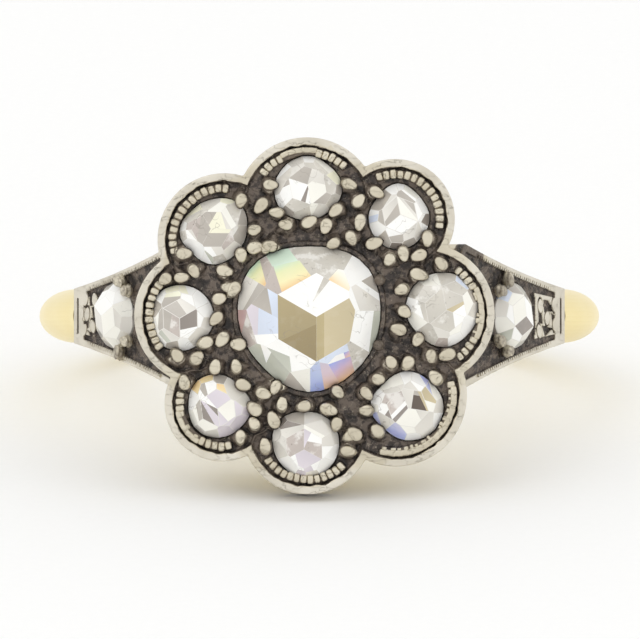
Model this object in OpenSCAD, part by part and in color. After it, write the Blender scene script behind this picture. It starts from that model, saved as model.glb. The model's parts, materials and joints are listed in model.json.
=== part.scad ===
// Cluster ring: a large rose-cut stone with eight smaller ones round it, grain-set in a
// scalloped silver head, on a gold shank whose silver-faced shoulders hold one stone each.
// The ring is drawn upright, with the finger hole along Y and the head facing +Z, and is
// then laid on its side as it rests by itself: on the lowest lobe of its head and the
// back of its band, with the head facing -Y.

/* [Finger hole and band] */
// Diameter of the finger hole
finger_d = 17.3; // [15:0.1:21]
// Thickness of the band from the finger to its crown
band_thick = 1.35; // [1.1:0.05:1.7]
// Width of the band along the finger
band_width = 1.92; // [1.6:0.02:2.3]

/* [Head] */
// Height of the rim above the finger hole
head_height = 3.95; // [3.7:0.05:4.8]
// Depth of the silver box that holds the cluster
head_depth = 1.3; // [1.1:0.05:1.6]
// Distance of the head's centre from the middle of the band, to the left if negative
head_shift = -0.1; // [-0.3:0.05:0.3]
// Distance from the head's centre to the centres of the lobes
lobe_out = 4; // [3.8:0.05:4.3]
// Radius of a lobe of the outline
lobe_r = 2.3; // [2.15:0.05:2.5]
// Width of the plain rim round the head
rim_width = 0.27; // [0.2:0.01:0.35]
// Height of the rim above the ground that it encloses
rim_step = 0.26; // [0.15:0.01:0.35]
// Slope of the ground from the rim up to the centre stone, in degrees
ground_slope = 9; // [5:0.5:12]
// Distance between the rim and the milled ledge inside it
ledge_gap = 0.11; // [0.08:0.01:0.2]
// Width of the milled ledge round the outer half of each petal
ledge_width = 0.28; // [0.18:0.01:0.32]
// Depth of the milled ledge's top below the rim
ledge_drop = 0.06; // [0.03:0.01:0.12]
// Width of the collar round the centre stone
collar_width = 0.16; // [0.12:0.01:0.22]
// Height of the collar above the ground
collar_height = 0.12; // [0.08:0.01:0.2]

/* [Gallery] */
// Diameter of the gold cup where it meets the silver box
gallery_top_d = 10.2; // [9.8:0.1:11]
// Diameter of the gold cup at its foot
gallery_foot_d = 8; // [7:0.1:9]
// Height of the gold cup, most of it inside the band
gallery_height = 3.6; // [3.2:0.1:4.2]

/* [Stones] */
// Diameter of the centre stone
centre_d = 5.03; // [4.7:0.01:5.3]
// Height of the centre stone above its seat edge
centre_crown = 1.4; // [1.1:0.05:1.7]
// Diameter of a petal stone
petal_d = 2.35; // [2.1:0.01:2.5]
// Height of a petal stone above its seat edge
petal_crown = 0.66; // [0.5:0.02:0.8]
// Distance from the head's centre to the centres of the petal stones
petal_out = 4.47; // [4.35:0.01:4.6]
// Diameter of a shoulder stone
shoulder_stone_d = 2.3; // [2:0.01:2.5]
// Height of a shoulder stone above its seat edge
shoulder_crown = 0.6; // [0.45:0.01:0.75]
// Depth of a stone below its seat edge, down to its flat back
stone_seat = 0.32; // [0.25:0.01:0.4]
// Clearance between a stone and the metal round it
stone_gap = 0.03; // [0.02:0.005:0.05]

/* [Grains] */
// Diameter of a grain that holds a stone
grain_d = 0.4; // [0.3:0.01:0.46]

/* [Shoulders] */
// Angle round the finger at which the silver of a shoulder begins, from the head
shoulder_start = 60; // [56:0.5:64]
// Thickness of the silver face of a shoulder
shoulder_thick = 0.75; // [0.65:0.01:0.9]
// Width of a shoulder at its tip
shoulder_tip = 1.93; // [1.7:0.01:2.1]
// Width of a shoulder where it meets the head
shoulder_root = 5.2; // [4.8:0.05:5.4]
// Radius of the corners at the end of a shoulder beside the head
root_round = 0.7; // [0.5:0.05:0.9]
// Radius of the hollow curve of a shoulder's sides
shoulder_flare = 48; // [36:1:60]
// Width of the milled strip along a shoulder's edge
strip_width = 0.24; // [0.18:0.01:0.3]
// Depth of the channel between the strips
channel_depth = 0.12; // [0.08:0.01:0.18]
// Length of the plain strip across a shoulder's tip
tip_strip = 0.62; // [0.5:0.01:0.75]
// Distance of the cut bar from the tip
bar_place = 0.2; // [0.12:0.01:0.28]
// Width of the cut bar
bar_width = 0.12; // [0.06:0.01:0.16]
// Length of the cut bar across the shoulder
bar_length = 1.25; // [0.8:0.05:1.5]
// Length of an engraved leaf
leaf_length = 0.52; // [0.35:0.01:0.6]
// Width of an engraved leaf
leaf_width = 0.32; // [0.2:0.01:0.38]
// Depth of the gold lining below a shoulder's face
lining_depth = 4; // [3.5:0.1:5]
// Seam between silver and gold
seam = 0.03; // [0.02:0.005:0.05]

/* [Hidden] */

// Smoothness of round surfaces
$fn = 96;
// Longer than anything that a cut has to pass through
FAR = 30;
// How far a cut runs past the face that it starts from
MARGIN = 1;

// Lobes of the outline, counter-clockwise from the right: direction in degrees, distance
// as a share of lobe_out, radius as a share of lobe_r, and how far the milled ledge goes
// round the petal to each side of that direction
LOBES = [
    [1, 0.925, 1.065, 54], [51, 1.075, 0.9, 64], [95, 0.925, 1.075, 48], [140.5, 1.03, 1, 56],
    [180, 0.97, 1.045, 38], [223, 1.11, 0.865, 60], [265.5, 0.975, 0.985, 50], [315, 0.97, 1.065, 60]];

// Outline of each petal stone, in the order of the lobes: direction in degrees, distance as
// a share of petal_out, turn of its facets, then its radius every 45 degrees from the right
// as a share of half the petal stone's diameter
PETALS = [
    [2.5, 0.98, 40, [1.07, 1.11, 1.11, 1.12, 1.11, 1.02, 1.08, 1.01]],
    [50.3, 0.99, 40, [0.92, 0.87, 1.00, 0.84, 0.88, 0.92, 0.96, 0.90]],
    [93.8, 0.99, 100, [1.01, 0.90, 0.95, 0.93, 0.98, 1.02, 0.95, 0.94]],
    [140.5, 1.03, 60, [0.99, 1.10, 0.94, 0.88, 1.00, 0.90, 0.99, 0.95]],
    [181, 1.03, 90, [0.93, 0.93, 0.97, 1.02, 0.95, 1.00, 0.96, 0.88]],
    [223.2, 1.02, 95, [0.93, 0.84, 0.94, 1.00, 0.93, 0.98, 0.92, 0.86]],
    [264.7, 1.01, 30, [1.02, 1.08, 1.03, 1.06, 0.92, 0.86, 0.97, 0.97]],
    [314.8, 0.98, 50, [1.11, 1.01, 1.03, 0.94, 1.06, 0.92, 1.01, 1.10]]];

// The centre stone in the same columns, and where its point lies as shares of its diameter
CENTRE = [205, 0.06, 90, [0.98, 1.08, 1.00, 1.06, 0.96, 0.90, 0.99, 0.95]];
CENTRE_POINT = [0.055, 0.018];

// Radii of a shoulder stone in the same way
SHOULDER_RADII = [0.98, 1.02, 1.00, 1.02, 0.98, 1.00, 1.02, 1.00];

// Grains round the centre stone and then round each petal stone: direction from the
// stone's centre in degrees, distance from its edge as a share of the grain's diameter
CENTRE_GRAINS = [[29, 0.4], [63, 1.3], [71, 0.4], [117, 0.5], [157, 0.5],
    [200, 0.45], [244, 0.47], [292, 0.45], [340, 0.4]];
PETAL_GRAINS = [
    [[94, 0.7], [128, 0.65], [154, 0.85], [181, 0.4], [203, 1.2], [226, 0.4], [252, 0.95], [274, 0.65]],
    [[135, 0.5], [162, 1.25], [188, 0.85], [226, 0.7], [257, 1], [275, 0.4], [297, 1.1], [322, 0.4]],
    [[3, 0.5], [178, 0.45], [202, 1.3], [222, 0.5], [242, 0.9], [270, 0.4], [295, 1], [320, 0.45]],
    [[46, 0.4], [219, 0.6], [245, 1.05], [286, 0.8], [320, 0.5], [336, 1.15], [359, 0.7]],
    [[1, 0.4], [27, 0.9], [91, 0.65], [111, 0.75], [265, 0.45], [290, 1.05], [317, 0.45], [335, 1.4]],
    [[19, 1.35], [45, 0.4], [66, 1.25], [95, 0.65], [145, 0.7], [307, 0.55], [335, 0.8], [357, 0.45]],
    [[15, 1.5], [38, 0.4], [60, 0.8], [89, 0.65], [117, 1.1], [138, 0.4], [179, 0.65], [356, 0.7]],
    [[45, 0.55], [89, 0.9], [110, 1.2], [137, 0.85], [160, 0.9], [184, 0.4], [220, 0.55]]];

// Grains of a shoulder in the same columns, on the side that faces the head
SHOULDER_GRAINS = [[40, 0.55], [66, 0.45], [294, 0.45], [320, 0.55]];

// Left and right shoulder: side, distance of the stone's centre from the tip as a share of
// its diameter, turn of its facets, then the engraved leaves. Each leaf has its distance from
// the tip as a share of the way to the stone, its distance across as a share of the tip's
// width, and its turn
SHOULDERS = [
    [-1, 1.12, 30,
        [[0.52, -0.31, 8], [0.95, -0.29, -8], [0.6, -0.03, 12], [0.85, 0.19, -20], [0.45, 0.26, 30]]],
    [1, 1.43, 90,
        [[0.74, -0.18, 4], [0.53, 0.04, -4], [0.77, 0.28, 14], [0.29, 0.15, -8], [0.31, -0.2, 6]]]];

// Rings of facets round the point of a rose cut: how many, turn of the first, where their
// planes cross the girdle's height as a share of the stone's mean radius, and their slope as
// a share of the crown's own steepness
POINT_FACETS = [[3, 0, 2.05, 0.488], [3, 17, 1.21, 1.12], [3, -17, 1.21, 1.12]];
// The same for the ring along its edge, which crosses that height at the stone's outline
EDGE_FACETS = [12, 15, 1, 2.1];

// How far down the gallery the shoulders meet it, as a share of its height
ROOT_DROP = 0.18;
// How far a grain's centre stands above the ground, as a share of its radius
GRAIN_LIFT = 0.78;

finger_r = finger_d / 2;
band_r = finger_r + band_thick;
half_band = band_width / 2;
rim_z = finger_r + head_height;
box_z = rim_z - head_depth;
centre_r = centre_d / 2;
seat_depth = stone_seat + stone_gap;
seat_height = 2 * rim_step;
grain_r = grain_d / 2;
// Radius and height at which the sloping ground meets the rim and the centre stone
ground_r = lobe_out + lobe_r - rim_width - ledge_gap - ledge_width;
ground_z = rim_z - rim_step;
centre_z = ground_z + (ground_r - centre_r - collar_width) * tan(ground_slope);

// Slope of a shoulder, from the band's crown up to the gallery just below the silver box
tip_x = band_r * sin(shoulder_start);
tip_z = band_r * cos(shoulder_start);
root_x = (gallery_top_d - ROOT_DROP * (gallery_top_d - gallery_foot_d)) / 2;
root_z = box_z - ROOT_DROP * gallery_height;
shoulder_rise = atan2(root_z - tip_z, tip_x - root_x);
shoulder_run = norm([tip_x - root_x, root_z - tip_z]);

// Lean of the ring when it lies on the lower lobe's edge and the back of the band
low_lobe = LOBES[6];
low_y = lobe_r * low_lobe[2] - lobe_out * low_lobe[1] * sin(low_lobe[0]);
rest_span = box_z + finger_r;
lean = atan((low_y * rest_span - sqrt(pow(low_y * rest_span, 2)
    - (pow(rest_span, 2) - pow(band_thick, 2)) * (pow(low_y, 2) - pow(half_band, 2))))
    / (pow(rest_span, 2) - pow(band_thick, 2)));
rest_z = low_y * cos(lean) - box_z * sin(lean);
front_y = max(centre_z + centre_crown, rim_z + low_y * tan(lean)) * cos(lean);
back_y = finger_r * cos(lean) + norm([half_band * sin(lean), band_thick * cos(lean)]);

function at(direction, distance) = distance * [cos(direction), sin(direction)];

// Radius in one direction of a smooth closed curve through radii at equal steps
function smooth_radius(radii, direction) =
    let (n = len(radii), t = direction * n / 360, i = floor(t), f = t - i,
        a = radii[(i + n - 1) % n], b = radii[i % n], c = radii[(i + 1) % n], d = radii[(i + 2) % n])
    b + 0.5 * f * (c - a + f * (2 * a - 5 * b + 4 * c - d + f * (3 * (b - c) + d - a)));

function stone_radius(stone, size, direction) = smooth_radius(stone[3], direction) * size / 2;

function mean_radius(stone, size) = stone[3] * [for (r = stone[3]) 1] / len(stone[3]) * size / 2;

// A shoulder's stone in the columns of the other stones, in its own frame
function shoulder_row(side) = [0, 0, side[2], SHOULDER_RADII];

// Outline of a stone seen from above, grown outward for a seat or a collar
function stone_outline(stone, size, grow = 0) =
    [for (a = [0:10:350]) at(a, stone_radius(stone, size, a) + grow)];

// Furthest that an outline reaches in one direction
function reach(points, direction) = max([for (p = points) p * at(direction, 1)]);

// Half of the band's section: half an ellipse that stands on the finger hole
function band_section() =
    [for (a = [-90:10:90]) [finger_r + band_thick * cos(a), half_band * sin(a)]];

module lay_down() {
    translate([0, (front_y - back_y) / 2, rest_z])
        rotate([90 - lean, 0, 0])
            children();
}

module on_head() {
    translate([head_shift, 0, 0])
        children();
}

// Ground of a petal: its plane slopes down from the centre to the rim in its own direction
module on_petal_ground(direction) {
    rotate([0, 0, direction])
        translate([ground_r, 0, ground_z])
            rotate([0, ground_slope, 0])
                children();
}

// A petal stone's own frame, with its axes turned back to those of the head
module at_petal(petal) {
    on_petal_ground(petal[0])
        translate([(petal[1] * petal_out - ground_r) / cos(ground_slope), 0, 0])
            rotate([0, 0, -petal[0]])
                children();
}

module at_centre_stone() {
    translate([each at(CENTRE[0], CENTRE[1] * centre_d), centre_z])
        children();
}

// A shoulder's own frame: X up the slope from the tip, Y across and Z out of its face
module on_shoulder(side) {
    mirror([side[0] < 0 ? 1 : 0, 0, 0])
        translate([tip_x, 0, tip_z])
            rotate([0, shoulder_rise, 0])
                rotate([0, 0, 180])
                    children();
}

module at_shoulder_stone(side) {
    on_shoulder(side)
        translate([side[1] * shoulder_stone_d, 0, -channel_depth])
            children();
}

// Everything above one facet's plane, which falls in one direction and crosses the girdle's
// height at a distance from the middle
module above_facet(direction, distance, slope) {
    rotate([0, 0, direction])
        translate([distance, 0, 0])
            rotate([0, atan(slope), 0])
                translate([-FAR / 2, -FAR / 2, 0])
                    cube(FAR);
}

// Rose cut: a flat back, an upright girdle and rings of facets that rise to a point
module rose_cut(stone, size, crown, point = [0, 0]) {
    outline = stone_outline(stone, size);
    radius = mean_radius(stone, size);
    steepness = crown / radius;
    color("whitesmoke")
        difference() {
            translate([0, 0, -stone_seat])
                linear_extrude(stone_seat + crown + seat_height)
                    polygon(outline);
            translate(size * point)
                for (ring = POINT_FACETS)
                    for (a = [0:360 / ring[0]:359])
                        above_facet(stone[2] + ring[1] + a, ring[2] * radius, ring[3] * steepness);
            for (a = [0:360 / EDGE_FACETS[0]:359]) {
                direction = stone[2] + EDGE_FACETS[1] + a;
                distance = EDGE_FACETS[2] * reach(outline, direction);
                above_facet(direction, distance, EDGE_FACETS[3] * steepness);
            }
        }
}

module seat(stone, size) {
    translate([0, 0, -seat_depth])
        linear_extrude(seat_depth + seat_height)
            polygon(stone_outline(stone, size, stone_gap));
}

module grains(stone, size, places) {
    for (place = places)
        translate(at(place[0], stone_radius(stone, size, place[0]) + place[1] * grain_d))
            translate([0, 0, GRAIN_LIFT * grain_r])
                sphere(grain_r);
}

module lobes(inset, low, high) {
    translate([0, 0, low])
        linear_extrude(high - low) {
            for (lobe = LOBES)
                translate(at(lobe[0], lobe[1] * lobe_out))
                    circle(lobe[2] * lobe_r - inset);
            circle(lobe_out);
        }
}

// Carved ground inside the rim, with one plane for each petal
module ground() {
    difference() {
        lobes(rim_width / 2, box_z, centre_z);
        for (direction = [0:45:315])
            on_petal_ground(direction)
                translate([-FAR / 2, -FAR / 2, 0])
                    cube(FAR);
    }
}

module rim() {
    difference() {
        lobes(0, box_z, rim_z);
        lobes(rim_width, box_z - MARGIN, rim_z + MARGIN);
    }
}

// Milled ledge inside the rim, round the outer half of one petal
module ledge(lobe) {
    outer_r = lobe[2] * lobe_r - rim_width - ledge_gap;
    rotate([0, 0, lobe[0]])
        translate([lobe[1] * lobe_out, 0, ground_z - ledge_width])
            linear_extrude(rim_step + ledge_width - ledge_drop)
                intersection() {
                    difference() {
                        circle(outer_r);
                        circle(outer_r - ledge_width);
                    }
                    polygon([[0, 0], at(-lobe[3], FAR), at(lobe[3], FAR)]);
                }
}

module collar() {
    at_centre_stone()
        translate([0, 0, -stone_seat])
            linear_extrude(stone_seat + collar_height)
                polygon(stone_outline(CENTRE, centre_d, stone_gap + collar_width));
}

// Cuts the seat of every stone of the head into what it is given
module with_seats() {
    difference() {
        union()
            children();
        at_centre_stone()
            seat(CENTRE, centre_d);
        for (petal = PETALS)
            at_petal(petal)
                seat(petal, petal_d);
    }
}

module head() {
    color("silver") {
        with_seats() {
            ground();
            rim();
            collar();
            for (lobe = LOBES)
                ledge(lobe);
        }
        at_centre_stone()
            grains(CENTRE, centre_d, CENTRE_GRAINS);
        for (i = [0:7])
            at_petal(PETALS[i])
                grains(PETALS[i], petal_d, PETAL_GRAINS[i]);
    }
}

// Strip as wide as a shoulder's root, with rounded corners at its far end, narrowed on each
// side by an inset
module shoulder_blank(inset, run) {
    half = shoulder_root / 2 - inset;
    corner = root_round - inset;
    translate([0, -half])
        square([run - corner, 2 * half]);
    translate([0, corner - half])
        square([run, 2 * (half - corner)]);
    for (y = [corner - half, half - corner])
        translate([run - corner, y])
            circle(corner);
}

// Outline of a shoulder's face, narrowed on each side by an inset
module shoulder_plan(inset, run) {
    tip = [0, shoulder_tip / 2];
    root = [shoulder_run, shoulder_root / 2];
    chord = root - tip;
    rise = sqrt(pow(shoulder_flare, 2) - chord * chord / 4) / norm(chord);
    hollow = (tip + root) / 2 + rise * [-chord[1], chord[0]];
    difference() {
        shoulder_blank(inset, run);
        for (y = [-hollow[1], hollow[1]])
            translate([hollow[0], y])
                circle(shoulder_flare + inset, $fn = 180);
    }
}

// Solid between two heights over a shoulder's face
module shoulder_slab(inset, run, low, high) {
    translate([0, 0, low])
        linear_extrude(high - low)
            shoulder_plan(inset, run);
}

module leaf() {
    half = leaf_length / 2;
    bulge = (half * half - leaf_width * leaf_width / 4) / leaf_width;
    linear_extrude(channel_depth)
        intersection() {
            translate([bulge, 0])
                circle(bulge + leaf_width / 2);
            translate([-bulge, 0])
                circle(bulge + leaf_width / 2);
        }
}

// Silver face of a shoulder: a plain tip with a cut bar, then a channel between milled
// strips that holds engraved leaves, the stone and its grains
module shoulder(side) {
    stone_x = side[1] * shoulder_stone_d;
    leaf_run = stone_x - shoulder_stone_d / 2;
    color("silver")
        difference() {
            on_shoulder(side)
                difference() {
                    union() {
                        difference() {
                            shoulder_slab(0, shoulder_run, -shoulder_thick, 0);
                            difference() {
                                shoulder_slab(strip_width, shoulder_run - strip_width,
                                    -channel_depth, MARGIN);
                                translate([0, -FAR / 2, -channel_depth])
                                    cube([tip_strip, FAR, MARGIN]);
                            }
                            translate([bar_place, -bar_length / 2, -channel_depth])
                                cube([bar_width, bar_length, MARGIN]);
                        }
                        for (place = side[3])
                            translate([place[0] * leaf_run, place[1] * shoulder_tip, -channel_depth])
                                rotate([0, 0, place[2]])
                                    leaf();
                        translate([stone_x, 0, -channel_depth])
                            grains(shoulder_row(side), shoulder_stone_d, SHOULDER_GRAINS);
                    }
                    translate([stone_x, 0, -channel_depth])
                        seat(shoulder_row(side), shoulder_stone_d);
                }
            gallery(seam);
        }
}

// Gold cup under the silver box, grown by a seam where silver meets it
module gallery(grow = 0) {
    on_head()
        translate([0, 0, box_z - seam - gallery_height])
            cylinder(h = gallery_height, d1 = gallery_foot_d + 2 * grow, d2 = gallery_top_d + 2 * grow);
}

module band() {
    rotate([90, 0, 0])
        rotate_extrude($fn = 180)
            polygon([[finger_r - MARGIN, -half_band], each band_section(), [finger_r - MARGIN, half_band]]);
}

// Gold lining of a shoulder, from under its silver face down to the finger
module lining(side) {
    on_shoulder(side)
        shoulder_slab(seam, shoulder_run, -lining_depth, -shoulder_thick - seam);
}

module shank() {
    color("khaki")
        difference() {
            union() {
                difference() {
                    union() {
                        band();
                        for (side = SHOULDERS)
                            lining(side);
                    }
                    for (side = SHOULDERS)
                        on_shoulder(side)
                            translate([-seam, 0, 0])
                                shoulder_slab(-seam, FAR / 2, -shoulder_thick - seam, FAR / 2);
                }
                gallery();
            }
            rotate([90, 0, 0])
                cylinder(h = FAR, r = finger_r, center = true, $fn = 180);
        }
}

module centre_stone() {
    at_centre_stone()
        rose_cut(CENTRE, centre_d, centre_crown, CENTRE_POINT);
}

module petal_stone(i) {
    at_petal(PETALS[i])
        rose_cut(PETALS[i], petal_d, petal_crown);
}

module shoulder_stone(side) {
    at_shoulder_stone(side)
        rose_cut(shoulder_row(side), shoulder_stone_d, shoulder_crown);
}

lay_down() shank();
lay_down() on_head() head();
lay_down() shoulder(SHOULDERS[0]);  // shoulder_left
lay_down() shoulder(SHOULDERS[1]);  // shoulder_right
lay_down() on_head() centre_stone();
lay_down() on_head() petal_stone(0);  // petal_stone_1
lay_down() on_head() petal_stone(1);  // petal_stone_2
lay_down() on_head() petal_stone(2);  // petal_stone_3
lay_down() on_head() petal_stone(3);  // petal_stone_4
lay_down() on_head() petal_stone(4);  // petal_stone_5
lay_down() on_head() petal_stone(5);  // petal_stone_6
lay_down() on_head() petal_stone(6);  // petal_stone_7
lay_down() on_head() petal_stone(7);  // petal_stone_8
lay_down() shoulder_stone(SHOULDERS[0]);  // shoulder_stone_left
lay_down() shoulder_stone(SHOULDERS[1]);  // shoulder_stone_right
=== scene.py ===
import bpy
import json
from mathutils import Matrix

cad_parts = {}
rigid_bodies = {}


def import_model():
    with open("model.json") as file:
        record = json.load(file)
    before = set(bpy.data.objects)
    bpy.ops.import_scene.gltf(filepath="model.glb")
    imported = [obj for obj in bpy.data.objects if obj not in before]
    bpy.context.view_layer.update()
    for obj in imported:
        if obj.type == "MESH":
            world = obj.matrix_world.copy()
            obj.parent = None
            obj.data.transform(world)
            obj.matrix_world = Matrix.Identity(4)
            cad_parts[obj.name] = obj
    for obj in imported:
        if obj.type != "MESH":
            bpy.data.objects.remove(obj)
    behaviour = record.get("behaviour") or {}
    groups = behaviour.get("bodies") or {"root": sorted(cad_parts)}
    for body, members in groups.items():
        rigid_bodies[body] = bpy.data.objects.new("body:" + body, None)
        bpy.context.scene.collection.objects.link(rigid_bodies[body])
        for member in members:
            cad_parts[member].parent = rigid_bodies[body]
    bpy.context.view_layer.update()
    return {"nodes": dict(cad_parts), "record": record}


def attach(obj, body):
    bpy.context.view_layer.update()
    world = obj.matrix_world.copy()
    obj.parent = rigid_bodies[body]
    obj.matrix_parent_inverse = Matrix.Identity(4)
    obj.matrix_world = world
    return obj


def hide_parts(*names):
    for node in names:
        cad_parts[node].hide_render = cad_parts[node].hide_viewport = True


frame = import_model()
print("pieces in the frame:", len(frame["nodes"]))

# %% [markdown]
# ## The ring's own axes
#
# The ring lies on its side, so its head leans a little. Work is easier in the jeweller's
# view: X to the right, Y along the finger and Z out of the head, in millimetres. The record
# of the frame says where the finger hole is, which gives those axes.
#
# %% A matrix from the ring's axes to the scene
import json
import math
import random

import bpy
import numpy as np
from mathutils import Matrix, Vector, noise

MM = 0.001
finger_hole = frame["record"]["mounts"][0]
finger = Vector(finger_hole["axis"]).normalized()
facing = Vector((1, 0, 0)).cross(finger)
turned = Matrix((Vector((1, 0, 0)), finger, facing)).transposed().to_4x4()
RING = Matrix.Translation(finger_hole["pos_m"]) @ turned @ Matrix.Scale(MM, 4)
BACK = RING.inverted()


def points_of(piece, frame_back=BACK):
    """The piece's points as rows of millimetres in the ring's axes, or in other ones."""
    flat = np.empty(len(piece.data.vertices) * 3)
    piece.data.vertices.foreach_get("co", flat)
    turn = np.array(frame_back)
    return flat.reshape(-1, 3) @ turn[:3, :3].T + turn[:3, 3]


head_points = points_of(frame["nodes"]["head"])
print("head in mm:", head_points.min(0).round(2), head_points.max(0).round(2))

# %% [markdown]
# ## Sizes of the setting
#
# These are the driving sizes of the head in millimetres, the same as in the CAD source. The
# outline of the head is eight round lobes. Each row of the table is one lobe: its direction
# in degrees, its distance and radius as shares of the usual ones, how far its milled ledge
# goes to each side, and the stretch of that ledge that is worn smooth, with the width that
# it has worn to and how likely it is that a crumb of a bead is left.
#
# %% Sizes and lobes
RIM_Z = 12.6
RIM_WIDTH = 0.27
RIM_STEP = 0.26
LOBE_OUT = 4.0
LOBE_R = 2.3
LEDGE_GAP = 0.11
LEDGE_WIDTH = 0.28
LEDGE_DROP = 0.06
SLOPE = math.radians(9)
HEAD_SHIFT = -0.1
GRAIN_R = 0.2
LOBES = [
    (1, 0.925, 1.065, 54, (-24, 22, 0.3, 0.7)), (51, 1.075, 0.9, 64, None),
    (95, 0.925, 1.075, 48, (-13, 20, 0.27, 0)), (140.5, 1.03, 1, 56, None),
    (180, 0.97, 1.045, 38, None), (223, 1.11, 0.865, 60, (-28, 16, 0.28, 0.3)),
    (265.5, 0.975, 0.985, 50, None), (315, 0.97, 1.065, 60, (-58, 52, 0.32, 0.8))]

print("lobes:", len(LOBES))

# %% The ground and the outline as functions

GROUND_Z = RIM_Z - RIM_STEP
GROUND_R = LOBE_OUT + LOBE_R - RIM_WIDTH - LEDGE_GAP - LEDGE_WIDTH


def lobe_middle(lobe):
    """The middle of a lobe's circle in the ring's axes, at height 0."""
    direction, out = math.radians(lobe[0]), lobe[1] * LOBE_OUT
    return Vector((HEAD_SHIFT + out * math.cos(direction), out * math.sin(direction), 0))


def ground_height(x, y):
    """Height of the sloping ground at a place, which falls from the middle towards the rim."""
    steps = np.radians(np.arange(0, 360, 45))
    across = [(x - HEAD_SHIFT) * math.cos(d) + y * math.sin(d) for d in steps]
    return GROUND_Z - (np.max(across, axis=0) - GROUND_R) * math.tan(SLOPE)


def depth_inside(x, y):
    """How far inside the outline of the head a place lies."""
    depths = [LOBE_OUT - np.hypot(x - HEAD_SHIFT, y)]
    for lobe in LOBES:
        middle = lobe_middle(lobe)
        depths.append(lobe[2] * LOBE_R - np.hypot(x - middle.x, y - middle.y))
    return np.max(depths, axis=0)


print("ground at the middle, mm:", ground_height(np.zeros(1), np.zeros(1)).round(2))

# %% [markdown]
# ## The bench tools
#
# Blender's operators act on all that is selected. Each tool here starts from an empty
# selection, so that a step never changes a piece that was left selected by the last one.
#
# %% Select, copy, weld and shape a piece


def take(*pieces):
    """Selects these pieces alone and makes the first one active."""
    bpy.ops.object.select_all(action="DESELECT")
    for piece in pieces:
        piece.select_set(True)
    bpy.context.view_layer.objects.active = pieces[0]
    return pieces[0]


def twin(piece, name):
    """A copy of a piece with its own mesh, free of the frame's bodies."""
    copy = bpy.data.objects.new(name, piece.data.copy())
    bpy.context.scene.collection.objects.link(copy)
    copy.data.materials.clear()
    return copy


def weld(piece):
    """Joins the loose triangles of a copied CAD mesh into one skin, shaded flat."""
    take(piece)
    bpy.ops.mesh.customdata_custom_splitnormals_clear()
    piece.data.shade_flat()
    bpy.ops.object.mode_set(mode="EDIT")
    bpy.ops.mesh.select_all(action="SELECT")
    bpy.ops.mesh.remove_doubles(threshold=1e-7)
    bpy.ops.object.mode_set(mode="OBJECT")
    return piece


def apply_modifier(piece, kind, **settings):
    """Adds a modifier, sets it and applies it."""
    take(piece)
    modifier = piece.modifiers.new(kind.title(), kind)
    for name, value in settings.items():
        setattr(modifier, name, value)
    bpy.ops.object.modifier_apply(modifier=modifier.name)
    return piece


print("copying and welding ready")

# %% Join, lay and mark pieces


def join(pieces, name):
    """Joins pieces into one object."""
    take(*pieces)
    bpy.ops.object.join()
    joined = bpy.context.view_layer.objects.active
    joined.name = name
    return joined


def lay(piece, matrix):
    """Puts a piece made at the origin in its place. Mirroring turns it inside out, so then
    its faces are flipped back."""
    piece.data.transform(matrix)
    if matrix.determinant() < 0:
        piece.data.flip_normals()
    piece.data.update()
    return piece


def note(piece, name, values):
    """Writes one number for each point of a piece, for its material to read."""
    mark = piece.data.attributes.new(name, "FLOAT", "POINT")
    mark.data.foreach_set("value", np.asarray(values, np.float32))
    return piece


def ramp(values, low, high):
    """0 below low, 1 above high and a soft step between them."""
    share = np.clip((values - low) / (high - low), 0, 1)
    return share * share * (3 - 2 * share)


print("joining and marking ready")

# %% [markdown]
# ## Shader maths as plain Python
#
# A material is a tree of nodes. Written by hand, that is hundreds of lines of wiring. Here a
# Wire stands for the value that comes out of a node, so `1 - mask * 0.5` adds its two Math
# nodes by itself. Any other node comes from Finish.node, which sets it and feeds its sockets.
#
# %% Colours and wires


def paint(red, green, blue):
    """A colour as a screen shows it, 0 to 255, turned into the amounts of light Blender uses."""
    parts = [c / 255 for c in (red, green, blue)]
    return [p / 12.92 if p <= 0.04045 else ((p + 0.055) / 1.055) ** 2.4 for p in parts] + [1]


class Wire:
    """What comes out of one socket of a material."""

    def __init__(self, finish, socket):
        self.finish, self.socket = finish, socket

    def maths(self, operation, *others):
        """One Math node that takes this value first."""
        values = dict(enumerate((self, *others)))
        return self.finish.node("Math", {"operation": operation}, values)

    def __add__(self, other):
        return self.maths("ADD", other)

    def __sub__(self, other):
        return self.maths("SUBTRACT", other)

    def __mul__(self, other):
        return self.maths("MULTIPLY", other)

    def __rsub__(self, other):
        return (self * -1).maths("ADD", other)

    __radd__, __rmul__ = __add__, __mul__

    def step(self, low, high):
        """0 below low, 1 above high and a soft step between."""
        soft = {"interpolation_type": "SMOOTHSTEP"}
        return self.finish.node("MapRange", soft, {0: self, 1: low, 2: high})

    def fraction(self):
        """What is left after the whole number, so that colours go round in a circle."""
        return self.maths("FRACT")

    def near(self, value, width):
        """1 where this is close to a value, which turns clouds into thin curved lines."""
        return 1 - (self - value).maths("ABSOLUTE").step(0, width)


print("a middle grey in light:", round(paint(128, 128, 128)[0], 3))

# %% A finish and its nodes


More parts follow.
